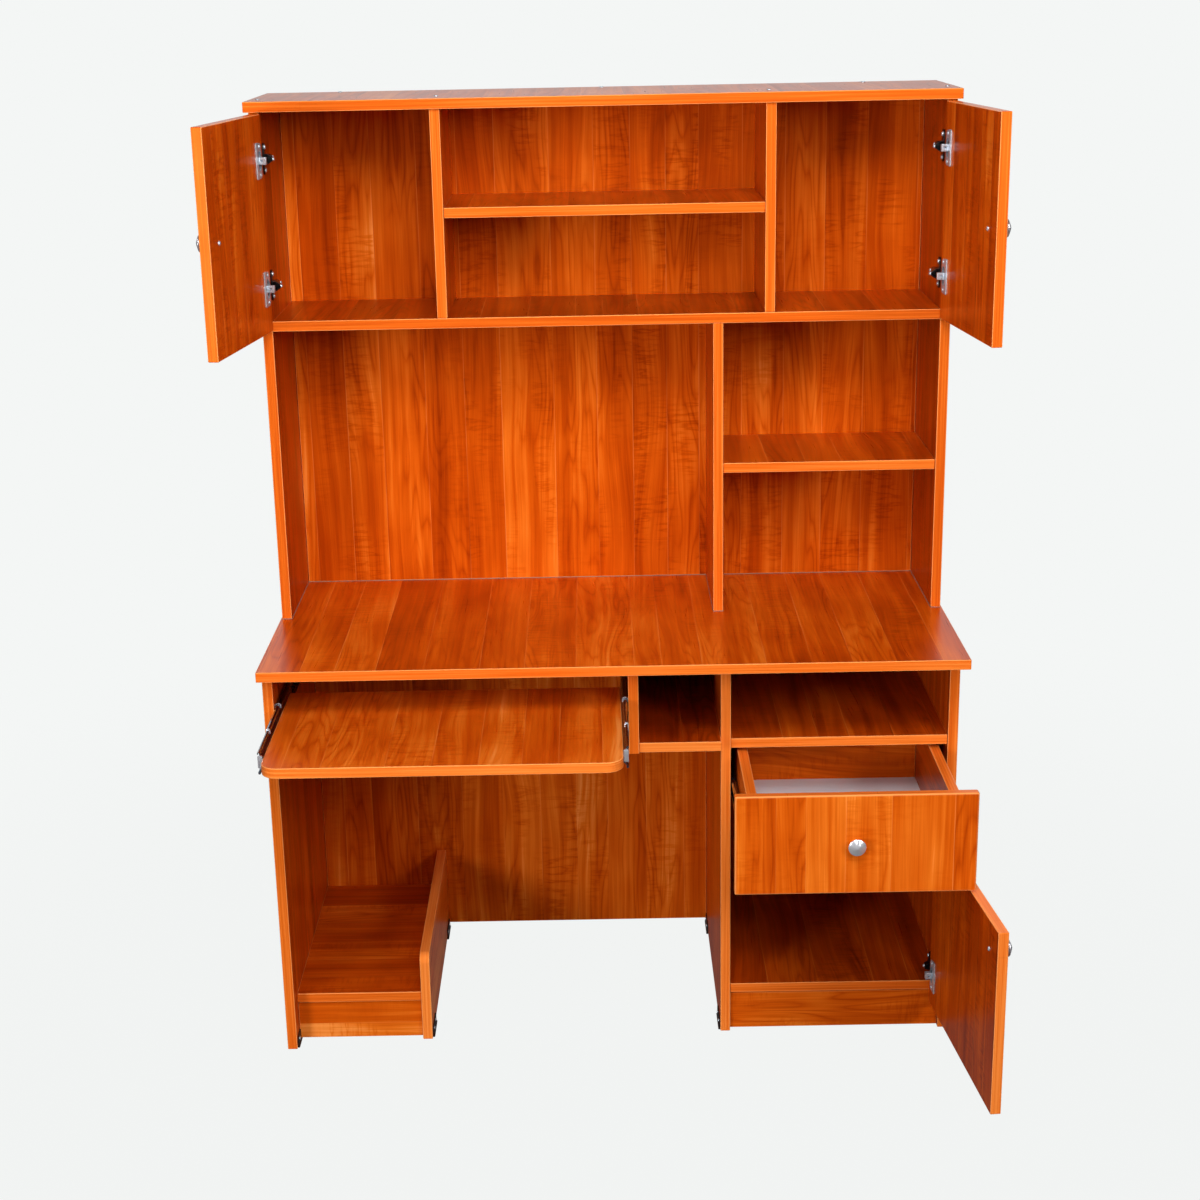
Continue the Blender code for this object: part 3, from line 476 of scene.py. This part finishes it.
# doors: joint, side of the desk, panel that carries the hinges, fitting prefix
doors = {
    "hutch_left_door": ("left_door_hinge", -1, "hutch_left_side", "hutch_left"),
    "hutch_right_door": ("right_door_hinge", 1, "hutch_right_side", "hutch_right"),
    "pedestal_door": ("cupboard_door_hinge", 1, "right_end_panel", "pedestal"),
}
hingeSet = {
    "gapMm": 0.3,                 # fittings stand this far off the board under them
    "plateMm": (22, 54, 2.2), "plateRoundMm": 22 / 3, "plateBackMm": 12,
    "armWideMm": 17.6, "armEndMm": 10.0, "armRidgeMm": 6.0, "armWallMm": 1.2, "armCoreMm": 12.5,
    "armTaperMm": (16, 60.0),     # the channel narrows between these distances from the panel's front
    "armHighMm": {"hutch": ((2, 18.5), (16, 17.8), (40, 13.2), (58, 10.2), (60, 9.0)),
                  "pedestal": ((2, 26.5), (15, 26.5), (24, 18.5), (40, 14.0), (58, 10.2), (60, 9.0))},
    "armWallHighMm": {"hutch": 9.5, "pedestal": 13.0},    # its walls stand straight up to here, then lean in
    "armFootMm": 2.5, "armBendMm": 2.0, "armRoundMm": (0.8, 0.7), "coreSlackMm": 0.1, "coreShare": 0.97,
    "linkFromEdgeMm": {"hutch": (17.2, 25), "pedestal": (12.6, 22)}, "linkHighMm": (0.5, 13.4),
    "linkWideMm": 12.6, "linkRoundMm": 0.8, "linkHoleMm": 4.2, "linkHoleDeepMm": 6.0,
    "barFromEdgeMm": {"hutch": (24, 38), "pedestal": (22, 36)}, "barLongMm": 62, "barHighMm": 2.3,
    "barLipMm": 0.5, "barCrown": 0.6, "barSteps": 8,
    "barEnds": ((-1.0, 0.55), (-0.985, 0.8), (-0.94, 1.0), (0.94, 1.0), (0.985, 0.8), (1.0, 0.55)),
    # screws: where they sit, radius and rise of the head, turn of the slot
    "plateScrewMm": 19.5, "plateHead": (4.0, 2.2), "plateSlotDeg": 20,
    "armScrewMm": (9, 52), "armScrewHighMm": 11.2, "armRadiusMm": (3.0, 3.4),
    "armRiseMm": 2.4, "armSunkMm": 1.5, "armSlotDeg": 35,
    "flangeScrewMm": 24, "flangeInMm": 17.5, "flangeHighMm": 1.5,
    "flangeHead": (3.2, 1.3), "flangeSlotDeg": 10,
    "knobHead": (4.0, 2.0), "knobSlotDeg": 25,
}


def hingeArm(form, wallX, side, frontY, z, kind):
    # pressed channel, open towards the panel, narrowing to the rear screw, on a winged plate
    s = hingeSet
    wall, foot = s["armWallMm"], s["armFootMm"]
    taperFrom, taperTo = s["armTaperMm"]
    roundHigh, roundWide = s["armRoundMm"]

    def spot(behindMm, highMm, riseMm):
        return Vector((wallX - side * mm(highMm), frontY + mm(behindMm), z + mm(riseMm)))

    def mirrored(points):
        return [(h, -r) for h, r in points]

    outlines, core = [], []
    for behind, high in s["armHighMm"][kind]:
        share = max(0.0, (behind - taperFrom) / (taperTo - taperFrom))
        w = s["armWideMm"] / 2 + (s["armEndMm"] / 2 - s["armWideMm"] / 2) * share
        ridge = min(w, s["armRidgeMm"] / 2)
        bend = min(s["armWallHighMm"][kind], high - s["armBendMm"])
        half = [(foot, -w), (bend, -w), (high - roundHigh, -ridge - roundWide), (high, -ridge)]
        inside = [(foot, -w + wall), (bend, -w + wall), (high - wall, -ridge + wall / 2)]
        section = half + mirrored(reversed(half)) + mirrored(inside) + list(reversed(inside))
        outlines.append([spot(behind, h, r) for h, r in section])
        if len(outlines) > 1:                               # the works inside, behind the folded link
            fill = list(reversed(inside)) + mirrored(inside)
            deep, slack = max(behind, s["armCoreMm"]), s["coreSlackMm"]
            core.append([spot(deep, h - slack * (h > foot), r * s["coreShare"]) for h, r in fill])
    skinOver(form, outlines)
    skinOver(form, core)
    wide, tall, thick = s["plateMm"]
    plate = rounded(wide, tall, s["plateRoundMm"])
    middle = s["plateBackMm"] + wide / 2
    levels = (s["gapMm"], s["gapMm"] + thick)
    skinOver(form, [[spot(middle + a * 1000, h, b * 1000) for a, b in plate] for h in levels])


def hingeLink(form, toWorld, edgeX, side, faceY, z, kind):
    # folded link box between cup and arm, with a square hole in its front
    s = hingeSet
    near, far = s["linkFromEdgeMm"][kind]
    low, high = s["linkHighMm"]
    half, hole, soft = s["linkWideMm"] / 2, s["linkHoleMm"] / 2, s["linkRoundMm"]
    middle = (low + high) / 2

    def loop(fromEdge, a0, a1, b):
        return [form.verts.new(toWorld @ Vector((edgeX - side * mm(fromEdge), faceY + mm(a), z + mm(r))))
                for a, r in ((a0, -b), (a1, -b), (a1, b), (a0, b))]

    loops = [loop(near, low + soft, high - soft, half - soft), loop(near + soft, low, high, half),
             loop(far - soft, low, high, half), loop(far, low + soft, high - soft, half - soft),
             loop(far, middle - hole, middle + hole, hole),
             loop(far - s["linkHoleDeepMm"], middle - hole, middle + hole, hole)]
    skinBetween(form, loops)
    closeEnds(form, loops)


def hingeBar(form, toWorld, edgeX, side, faceY, z, kind):
    # crowned flange bar on the door
    s = hingeSet
    near, far = s["barFromEdgeMm"][kind]
    gap, lip, steps = s["gapMm"], s["barLipMm"], s["barSteps"]
    outlines = []
    for share, shrink in s["barEnds"]:
        middle, half = (near + far) / 2, (far - near) / 2 * shrink
        crown = gap + (s["barHighMm"] - gap) * shrink - lip
        section = [(middle - half, gap)]
        for k in range(steps + 1):
            a = math.pi * (1 - k / steps)
            lift = crown * math.sin(a) ** s["barCrown"] if 0 < k < steps else 0.0
            section.append((middle + half * math.cos(a), lip + lift))
        section.append((middle + half, gap))
        rise = z + mm(s["barLongMm"] / 2 * share)
        outlines.append([toWorld @ Vector((edgeX - side * mm(e), faceY + mm(h), rise)) for e, h in section])
    skinOver(form, outlines)


armScrews = bmesh.new()
for door, (jointName, side, panel, prefix) in doors.items():
    s = hingeSet
    joint = joints[jointName]
    kind = prefix.split("_")[0]
    body = joint["child"]
    pivot = Vector((joint["pos_m"][0], joint["pos_m"][1], 0.0))
    # door coordinates: shut, with the pivot at the origin
    toWorld = Matrix.Translation(pivot) @ Matrix.Rotation(side * math.radians(-joint["range_deg"][0]), 4, "Z")
    shut = [toWorld.inverted() @ v.co for v in nodes[door].data.vertices]
    low, high = (Vector(pick(p[i] for p in shut) for i in range(3)) for pick in (min, max))
    edgeX = high.x if side > 0 else low.x
    into, out = toWorld.to_3x3() @ Vector((0, 1, 0)), toWorld.to_3x3() @ Vector((0, -1, 0))
    panelLow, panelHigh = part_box(panel)
    wallX, frontY = (panelLow.x if side > 0 else panelHigh.x), panelLow.y
    inward = Vector((-side, 0, 0))
    plateWide, plateThick = s["plateMm"][0], s["plateMm"][2]
    links, bars, screws = bmesh.new(), bmesh.new(), bmesh.new()
    for level in ("upper", "lower"):
        arm = f"{prefix}_{level}_hinge_arm"
        armLow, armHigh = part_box(arm)
        z = (armLow.z + armHigh.z) / 2
        form = bmesh.new()
        hingeArm(form, wallX, side, frontY, z, kind)
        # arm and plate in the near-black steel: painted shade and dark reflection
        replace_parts(newPiece(arm + "_channel", form, shadeDarkSteel, "carcass", softenMm=0.25), arm)
        plateX = wallX - side * mm(s["gapMm"] + plateThick)
        plateY = frontY + mm(s["plateBackMm"] + plateWide / 2)
        for rise in (-s["plateScrewMm"], s["plateScrewMm"]):
            place = Vector((plateX, plateY, z + mm(rise)))
            addScrew(armScrews, standing(place, inward, s["plateSlotDeg"] + rise), *s["plateHead"])
        armHighs = (s["armHighMm"][kind][0][1], s["armScrewHighMm"])
        for behind, highMm, radius in zip(s["armScrewMm"], armHighs, s["armRadiusMm"]):
            place = Vector((wallX - side * mm(highMm), frontY + mm(behind), z))
            at = standing(place, inward, s["armSlotDeg"])
            addScrew(armScrews, at, radius, s["armRiseMm"], s["armSunkMm"])
        hingeLink(links, toWorld, edgeX, side, high.y, z, kind)
        hingeBar(bars, toWorld, edgeX, side, high.y, z, kind)
        for rise in (-s["flangeScrewMm"], s["flangeScrewMm"]):
            place = Vector((edgeX - side * mm(s["flangeInMm"]), high.y + mm(s["flangeHighMm"]), z + mm(rise)))
            addScrew(screws, standing(toWorld @ place, into, s["flangeSlotDeg"] + rise), *s["flangeHead"])
    knob = prefix + "_knob"
    knobMid = sum((v.co for v in nodes[knob].data.vertices), Vector()) / len(nodes[knob].data.vertices)
    local = toWorld.inverted() @ knobMid
    behindKnob = toWorld @ Vector((local.x, high.y, local.z))
    addScrew(screws, standing(behindKnob, into, s["knobSlotDeg"]), *s["knobHead"])
    turnKnob(knob, standing(toWorld @ Vector((local.x, low.y - mm(s["gapMm"]), local.z)), out), body)
    newPiece(prefix + "_hinge_links", links, nickelSteel, body, softenMm=0.3)
    newPiece(prefix + "_hinge_bars", bars, nickelSteel, body)
    newPiece(prefix + "_door_screws", screws, nickelSteel, body)
newPiece("hinge_plate_screws", armScrews, nickelSteel, "carcass")

low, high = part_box("drawer_knob")
middle = (low + high) / 2
turnKnob("drawer_knob", standing(Vector((middle.x, high.y, middle.z)), Vector((0, -1, 0))), "drawer")
print("hinges and knobs built")


# tray slides: bright pressed ends, ball cages and front tabs
slideSet = {
    "gapMm": 0.2, "bowSteps": 12,
    "middleBowMm": (1.9, 16, 3.0), "railBowMm": (1.4, 9, 2.4),          # wall, leg, depth
    "railLiftMm": 0.4,
    "ballMm": 1.8, "ballOut": 0.46, "ballFrontMm": 3.2, "ballDropsMm": (2.6, 7.0),
    "tabMm": (8.0, 22.0, 1.4), "tabLiftMm": 3.0, "tabRoundMm": 2.0,
    "ribMm": 1.1, "ribWideMm": 1.4, "ribOutMm": 2.0, "ribShortMm": 4, "ribRound": 2.2,
}


def slideBow(form, lowX, highX, topZ, frontY, wallMm, legMm, deepMm):
    # bent end strip in the shape of the section's upper arch
    middle, outer = (lowX + highX) / 2, (highX - lowX) / 2
    leg = topZ - mm(legMm)
    angles = [math.pi * k / slideSet["bowSteps"] for k in range(slideSet["bowSteps"] + 1)]
    arch = []
    for radius, ways in ((outer, angles), (outer - mm(wallMm), angles[::-1])):
        points = [(middle - radius * math.cos(a), topZ - outer + radius * math.sin(a)) for a in ways]
        arch += [(points[0][0], leg)] + points + [(points[-1][0], leg)]
    skinOver(form, [[Vector((x, y, z)) for x, z in arch] for y in (frontY - mm(deepMm), frontY)])


for sideName in ("left", "right"):
    s = slideSet
    gap = mm(s["gapMm"])
    rail, middle, carrier = (f"tray_{sideName}_slide_{part}" for part in ("rail", "middle", "carrier"))
    form = bmesh.new()
    low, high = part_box(middle)
    slideBow(form, low.x, high.x, high.z, low.y - gap, *s["middleBowMm"])
    newPiece(middle + "_end", form, chrome, "tray_slides", softenMm=0.2)
    form = bmesh.new()
    low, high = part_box(rail)
    slideBow(form, low.x, high.x, high.z + mm(s["railLiftMm"]), low.y - gap, *s["railBowMm"])
    for lean in (-1, 1):                                    # ball cage ears on both sides of the runner
        ballX = (low.x + high.x) / 2 + lean * (high.x - low.x) * s["ballOut"]
        for drop in s["ballDropsMm"]:
            place = Matrix.Translation((ballX, low.y - mm(s["ballFrontMm"]), high.z - mm(drop)))
            bmesh.ops.create_icosphere(form, subdivisions=2, radius=mm(s["ballMm"] / 2), matrix=place)
    newPiece(rail + "_end", form, nickelSteel, "carcass")
    # front tab of the carrier, with two pressed ribs
    form = bmesh.new()
    low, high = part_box(carrier)
    tall, thick = s["tabMm"][1:]
    middleX, middleZ = (low.x + high.x) / 2, (low.z + high.z) / 2 + mm(s["tabLiftMm"])
    rib = (s["ribWideMm"], tall - s["ribShortMm"], thick + s["ribMm"])
    for offX, (w, h, t) in ((0.0, s["tabMm"]), (-s["ribOutMm"], rib), (s["ribOutMm"], rib)):
        outline = rounded(w, h, min(w / s["ribRound"], s["tabRoundMm"]))
        skinOver(form, [[
            Vector((middleX + mm(offX) + x, low.y - mm(s["gapMm"] + d), middleZ + z)) for x, z in outline
        ] for d in (t, 0.0)])
    newPiece(carrier + "_tab", form, chrome, "tray")
print("slides finished")


# screws in the hutch top: two rows by distance from the wall
topScrewSet = {
    "rowsMm": {225: (-602, -290.5, 290.5, 602), 26: (-480, 0, 480)},
    "head": (4.2, 1.6), "slotStepDeg": 23,
}
form = bmesh.new()
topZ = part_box("hutch_top")[1].z
placesMm = [(x, depth) for depth, row in topScrewSet["rowsMm"].items() for x in row]
for count, (x, depth) in enumerate(placesMm):
    place = fromRear(x, depth, 0)
    place.z = topZ
    spinDeg = count * topScrewSet["slotStepDeg"]
    addScrew(form, standing(place, Vector((0, 0, 1)), spinDeg), *topScrewSet["head"])
newPiece("hutch_top_screws", form, nickelSteel, "carcass")

# black glides at the feet of the panels
glideSet = {
    "longMm": 60, "highMm": 21, "thickMm": 2.2, "toeMm": 3.8, "toeHighMm": 3.0,
    "gapMm": 0.1, "toeRoundMm": (1.0, 0.6), "filletMm": 1.2, "topRoundMm": 0.8,
    "cornerMm": 5.0, "cornerIn": 0.3, "cornerDropMm": 1.5,
    "screwsMm": (14, 46), "screwHighMm": 12, "head": (3.2, 1.4),
    "places": [               # panel, side of it, depth of the glide's front
        ("left_end_panel", 1, 546), ("left_end_panel", 1, 96), ("bay_guard", 1, 514), ("bay_guard", 1, 100),
        ("pedestal_inner_panel", -1, 504), ("pedestal_inner_panel", -1, 96),
        ("right_end_panel", -1, 470), ("right_end_panel", -1, 96),
    ],
}
glides, glideScrews = bmesh.new(), bmesh.new()
for panel, side, frontMm in glideSet["places"]:
    s = glideSet
    low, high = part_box(panel)
    faceX = high.x if side > 0 else low.x
    toe, toeHigh, (toeLow, toeUp) = s["toeMm"], s["toeHighMm"], s["toeRoundMm"]
    thick, topHigh, fillet, top = s["thickMm"], s["highMm"], s["filletMm"], s["topRoundMm"]
    section = [(s["gapMm"], 0.0), (toe - toeLow, 0.0), (toe, toeLow),
               (toe, toeHigh - toeUp), (toe - toeUp, toeHigh),
               (thick + fillet, toeHigh), (thick, toeHigh + fillet),
               (thick, topHigh - top), (thick - top, topHigh), (s["gapMm"], topHigh)]
    long, corner, cornerIn = s["longMm"], s["cornerMm"], s["cornerMm"] * s["cornerIn"]
    outlines = []
    for along, drop in ((0, corner), (cornerIn, s["cornerDropMm"]), (corner, 0),
                        (long - corner, 0), (long - cornerIn, s["cornerDropMm"]), (long, corner)):
        outlines.append([Vector((faceX + side * mm(x), rearY - mm(frontMm - along),
                                 mm(z if z <= toeHigh + fillet else z - drop))) for x, z in section])
    skinOver(glides, outlines)
    for along in s["screwsMm"]:
        place = Vector((faceX + side * mm(thick), rearY - mm(frontMm - along), mm(s["screwHighMm"])))
        addScrew(glideScrews, standing(place, Vector((side, 0, 0)), along), *s["head"])
newPiece("panel_glides", glides, nylon, "carcass")
newPiece("glide_screws", glideScrews, nickelSteel, "carcass")

# thin bead of sealant where the hutch stands on the desk top
beadSet = {"wideMm": 0.9, "hollow": 0.45, "liftMm": 0.05}
wide, hollow = beadSet["wideMm"], beadSet["wideMm"] * beadSet["hollow"]
beadProfile = [(0.0, 0.0), (wide, 0.0), (hollow, hollow), (0.0, wide)]
back, leftSide, rightSide, divider = (
    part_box(n) for n in ("hutch_back", "hutch_left_side", "hutch_right_side", "hutch_lower_divider"))
backY, frontY = back[0].y, leftSide[0].y
beadRuns = []
for x0, x1 in ((leftSide[1].x, divider[0].x), (divider[1].x, rightSide[0].x)):
    beadRuns += [((x0, backY), (x1, backY), (0, -1)), ((x0, backY), (x0, frontY), (1, 0)),
                 ((x1, backY), (x1, frontY), (-1, 0))]
for box in (leftSide, rightSide, divider):
    beadRuns.append(((box[0].x, box[0].y), (box[1].x, box[0].y), (0, -1)))
form = bmesh.new()
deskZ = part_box("desk_top")[1].z
for start, end, lean in beadRuns:
    skinOver(form, [[
        Vector((x + lean[0] * mm(o), y + lean[1] * mm(o), deskZ + mm(beadSet["liftMm"] + r)))
        for o, r in beadProfile] for x, y in (start, end)])
newPiece("hutch_foot_bead", form, sealant, "carcass")
print("trim set")


studio = {
    "backdrop": "F4F6F5", "ambient": 0.03,
    "room": 0.18, "backdropFrom": (0.72, 0.97),             # the room in front, and where the backdrop begins
    "floorM": 60, "floorDropMm": 0.5, "floorPaper": "7C7C7A", "floorRough": 0.9, "floorGloss": 0.10,
    "floorShade": 0.03, "floorShadeM": (0.9, 2.6),    # how much of the shadow shows, and how far it reaches
    "lampWarmth": "FFFAF4", "lampAimMm": (0, 250, 800), "lampSizeM": 1.0,
    "lamps": {                # place in mm from the wall, watts
        "sideLeft": ((-2500, 3700, 1200), 72), "sideRight": ((2500, 3700, 2200), 55),
        "highRight": ((1100, 3700, 3200), 23), "front": ((0, 3700, 2400), 17), "near": ((0, 2300, 2900), 44),
        "rearLeft": ((-1900, -2600, 2000), 62), "rearRight": ((1900, -2600, 2000), 62),
    },
}
world = bpy.data.worlds.new("paleStudio")
bpy.context.scene.world = world
world.use_nodes = True
world.node_tree.nodes.clear()
add = functools.partial(addNode, world.node_tree)
rays = add("LightPath").node.outputs
toward = add("SeparateXYZ", add("TexCoord", out="Generated"), out=1)
# the pale backdrop stands behind the desk, the room in front is dimmer
behind = add("MapRange", toward, *studio["backdropFrom"], studio["room"], 1.0)
seen = add("Math", rays["Is Glossy Ray"], rays["Is Transmission Ray"], operation="MAXIMUM")
level = add("Mix", {0: seen, 2: studio["ambient"], 3: behind})
level = add("Mix", {0: rays["Is Camera Ray"], 2: level, 3: 1.0})
add("OutputWorld", add("Background", hexColour(studio["backdrop"]), level))

bpy.ops.mesh.primitive_plane_add(size=studio["floorM"], location=(0, 0, -mm(studio["floorDropMm"])))
floor = bpy.context.object
floor.name = "studioFloor"
# matt background paper: pale to the eye, with the desk's soft shadow near it
paper, add = newFinish("paleFloorPaper")
rays = add("LightPath").node.outputs
matt = add("BsdfPrincipled", {
    "Base Color": hexColour(studio["floorPaper"]), "Roughness": studio["floorRough"],
    "Specular IOR Level": 0.0})
away = add("VectorMath", add("TexCoord", out="Object"), operation="LENGTH", out="Value")
level = add("Mix", {0: rays["Is Glossy Ray"], 2: 1.0, 3: studio["floorGloss"]})
glow = add("Emission", hexColour(studio["backdrop"]), level)
seen = add("Math", rays["Is Camera Ray"], rays["Is Glossy Ray"], operation="MAXIMUM")
seen = add("Math", seen, rays["Is Transmission Ray"], operation="MAXIMUM")
plain = add("MapRange", away, *studio["floorShadeM"], 1.0 - studio["floorShade"], 1.0,
            interpolation_type="SMOOTHSTEP")
share = add("Math", seen, plain, operation="MULTIPLY")
add("OutputMaterial", add("MixShader", share, matt, glow))
floor.data.materials.append(paper)

for name, (spot, watts) in studio["lamps"].items():
    lamp = bpy.data.lights.new(name + "Softbox", "AREA")
    lamp.shape = "SQUARE"
    lamp.size = studio["lampSizeM"]
    lamp.energy = watts
    lamp.color = hexColour(studio["lampWarmth"])[:3]
    held = bpy.data.objects.new(lamp.name, lamp)
    bpy.context.scene.collection.objects.link(held)
    held.location = fromRear(*spot)
    aim = fromRear(*studio["lampAimMm"]) - held.location
    held.rotation_euler = aim.to_track_quat("-Z", "Y").to_euler()
    held.visible_camera = False
    held.visible_glossy = not name.startswith("rear")        # the rear pair only fills
print("studio lit")


# camera solved from the board corners in the photo
photoCamera = {
    "atMm": (-23.92, 3977.55, 1869.57), "yaw": -0.0049, "pitch": 0.3174, "roll": 0.0199,
    "focalPx": 2077.39, "middlePx": (589.36, 661.37), "framePx": 1200.0, "sensorMm": 36.0, "clipM": 200.0,
}
c = photoCamera
ahead = Vector((math.sin(c["yaw"]) * math.cos(c["pitch"]), math.cos(c["yaw"]) * math.cos(c["pitch"]),
                -math.sin(c["pitch"])))
right = Vector((math.cos(c["yaw"]), -math.sin(c["yaw"]), 0.0))
down = ahead.cross(right)
rolledRight = math.cos(c["roll"]) * right + math.sin(c["roll"]) * down
rolledDown = -math.sin(c["roll"]) * right + math.cos(c["roll"]) * down
lens = bpy.data.cameras.new("photoCamera")
lens.sensor_width = c["sensorMm"]
lens.lens = c["focalPx"] / c["framePx"] * c["sensorMm"]
lens.shift_x = 0.5 - c["middlePx"][0] / c["framePx"]
lens.shift_y = c["middlePx"][1] / c["framePx"] - 0.5
lens.clip_end = c["clipM"]
eye = bpy.data.objects.new("photoCamera", lens)
bpy.context.scene.collection.objects.link(eye)
turn = Matrix((rolledRight, -rolledDown, -ahead)).transposed().to_4x4()
eye.matrix_world = Matrix.Translation(fromRear(*c["atMm"])) @ turn
bpy.context.scene.camera = eye
bpy.context.scene.view_settings.view_transform = "Standard"
print("camera set")
